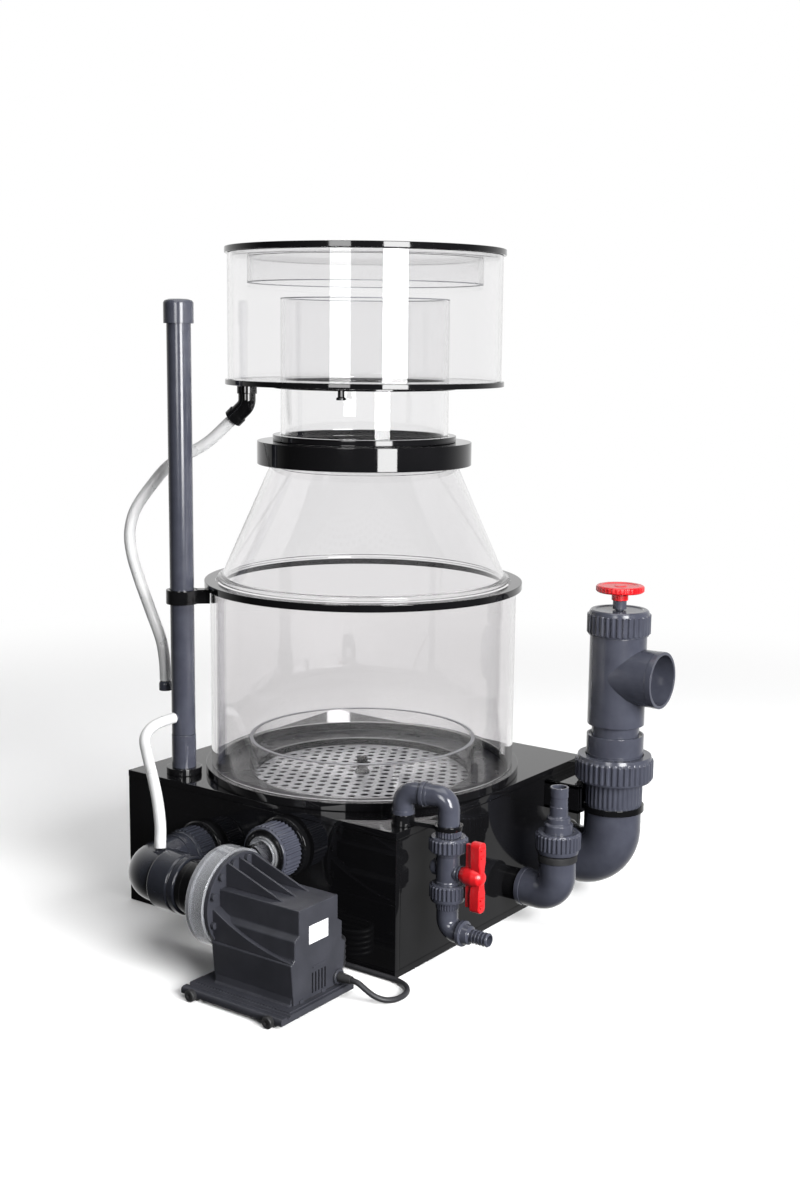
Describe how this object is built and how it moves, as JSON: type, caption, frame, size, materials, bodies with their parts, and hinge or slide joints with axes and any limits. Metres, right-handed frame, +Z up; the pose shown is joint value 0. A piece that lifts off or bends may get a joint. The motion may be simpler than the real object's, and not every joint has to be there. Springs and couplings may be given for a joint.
{
  "type": "protein skimmer",
  "caption": "Recirculating protein skimmer: black base box, clear reaction body and cone, lift-off cup with lid, side pump, air riser, drain valve, feed inlet and adjustable outlet.",
  "frame": {"origin": "on the body tube's vertical axis, at the underside of the base box", "axes": "+Z up the body's axis, +X to the right along the pump side of the base, +Y to the back"},
  "size_m": [0.6068, 0.6299, 0.8543],
  "materials": {
    "black_acrylic": "polished",
    "clear_acrylic": "polished, clear",
    "grey_pvc": "satin moulded",
    "pump_plastic": "fine-grained moulded",
    "diffuser_grey": "satin sheet",
    "volute_clear": "frosted clear moulding",
    "red_plastic": "satin moulded",
    "black_rubber": "matt",
    "silicone_hose": "milky translucent",
    "cord_sheath": "smooth sheath",
    "plug_plastic": "moulded",
    "label_blank": "blank film",
    "plug_pins": "plated"
  },
  "bodies": {
    "skimmer": {"base_shell": "black_acrylic", "base_top_plate": "black_acrylic", "outlet_shelf": "black_acrylic", "body_flange": "black_acrylic", "body_tube": "clear_acrylic", "body_top_flange": "black_acrylic", "body_cone": "clear_acrylic", "neck_collar": "black_acrylic", "neck_oring": "black_rubber", "diffuser_plate": "diffuser_grey", "diffuser_ring": "clear_acrylic", "riser_socket": "grey_pvc", "riser_pipe": "grey_pvc", "riser_cap": "grey_pvc", "air_hose": "silicone_hose", "drain_collar": "black_acrylic", "drain_inner_elbow": "grey_pvc", "drain_outer_elbow": "grey_pvc", "drain_valve_body": "grey_pvc", "drain_spout": "grey_pvc", "feed_elbow": "grey_pvc", "feed_clamp": "black_rubber", "feed_barb": "grey_pvc", "outlet_elbow": "grey_pvc", "outlet_tail": "grey_pvc", "outlet_tee": "grey_pvc", "outlet_top_nut": "grey_pvc", "pump_base": "pump_plastic", "pump_foot_left": "black_rubber", "pump_foot_right": "black_rubber", "pump_motor": "pump_plastic", "pump_volute": "volute_clear", "suction_elbow": "grey_pvc", "suction_sleeve": "black_rubber", "discharge_pipe": "clear_acrylic", "mains_cord": "cord_sheath", "cord_hank": "cord_sheath", "mains_plug": "plug_plastic"},
    "cup": {"neck_tube": "clear_acrylic", "neck_stop_ring": "black_acrylic", "cup_floor": "black_acrylic", "cup_wall": "clear_acrylic", "cup_drain_elbow": "black_acrylic", "cup_drain_hose": "silicone_hose", "hose_end_fitting": "grey_pvc"},
    "lid": {"lid_ring": "black_acrylic", "lid_plate": "clear_acrylic"},
    "drain_valve": {"drain_ball": "grey_pvc", "drain_lever": "red_plastic"},
    "gate": {"outlet_gate": "grey_pvc"},
    "gate_screw": {"outlet_stem": "grey_pvc", "outlet_knob": "red_plastic"},
    "rotor": {"pump_impeller": "black_acrylic"},
    "suction_union": {"suction_nut": "grey_pvc"},
    "discharge_union": {"discharge_nut": "grey_pvc"},
    "feed_union": {"feed_nut": "grey_pvc"},
    "outlet_union": {"outlet_nut": "grey_pvc"},
    "drain_upper_union": {"drain_top_nut": "grey_pvc"},
    "drain_lower_union": {"drain_bottom_nut": "grey_pvc"}
  },
  "joints": [
    {"name": "cup_lift", "type": "slide", "parent": "skimmer", "child": "cup", "axis": [0, 0, 1], "range_m": [0, 0.06]},
    {"name": "lid_lift", "type": "slide", "parent": "cup", "child": "lid", "axis": [0, 0, 1], "range_m": [0, 0.05]},
    {"name": "drain_valve_turn", "type": "hinge", "parent": "skimmer", "child": "drain_valve", "pos_m": [0.2486, -0.16, 0.13], "axis": [1, 0, 0], "range_deg": [0, 90]},
    {"name": "gate_screw_turn", "type": "hinge", "parent": "skimmer", "child": "gate_screw", "pos_m": [0.283, 0.179, 0.4], "axis": [0, 0, 1], "range_deg": [0, 1260]},
    {"name": "gate_lift", "type": "slide", "parent": "skimmer", "child": "gate", "axis": [0, 0, 1], "range_m": [0, 0.028]},
    {"name": "impeller_spin", "type": "hinge", "parent": "skimmer", "child": "rotor", "pos_m": [0.04, -0.3155, 0.098], "axis": [1, 0, 0], "continuous": true},
    {"name": "suction_nut_turn", "type": "hinge", "parent": "skimmer", "child": "suction_union", "pos_m": [-0.095, -0.23, 0.098], "axis": [0, 1, 0], "continuous": true},
    {"name": "discharge_nut_turn", "type": "hinge", "parent": "skimmer", "child": "discharge_union", "pos_m": [0.041, -0.23, 0.13], "axis": [0, 1, 0], "continuous": true},
    {"name": "feed_nut_turn", "type": "hinge", "parent": "skimmer", "child": "feed_union", "pos_m": [0.2763, 0.0475, 0.115], "axis": [0, 0, 1], "continuous": true},
    {"name": "outlet_nut_turn", "type": "hinge", "parent": "skimmer", "child": "outlet_union", "pos_m": [0.283, 0.179, 0.185], "axis": [0, 0, 1], "continuous": true},
    {"name": "drain_top_nut_turn", "type": "hinge", "parent": "skimmer", "child": "drain_upper_union", "pos_m": [0.2486, -0.16, 0.163], "axis": [0, 0, 1], "continuous": true},
    {"name": "drain_bottom_nut_turn", "type": "hinge", "parent": "skimmer", "child": "drain_lower_union", "pos_m": [0.2486, -0.16, 0.105], "axis": [0, 0, 1], "continuous": true}
  ],
  "couplings": [
    {"joint": "gate_lift", "follows": "gate_screw_turn", "m_per_rad": 0.0012732}
  ]
}
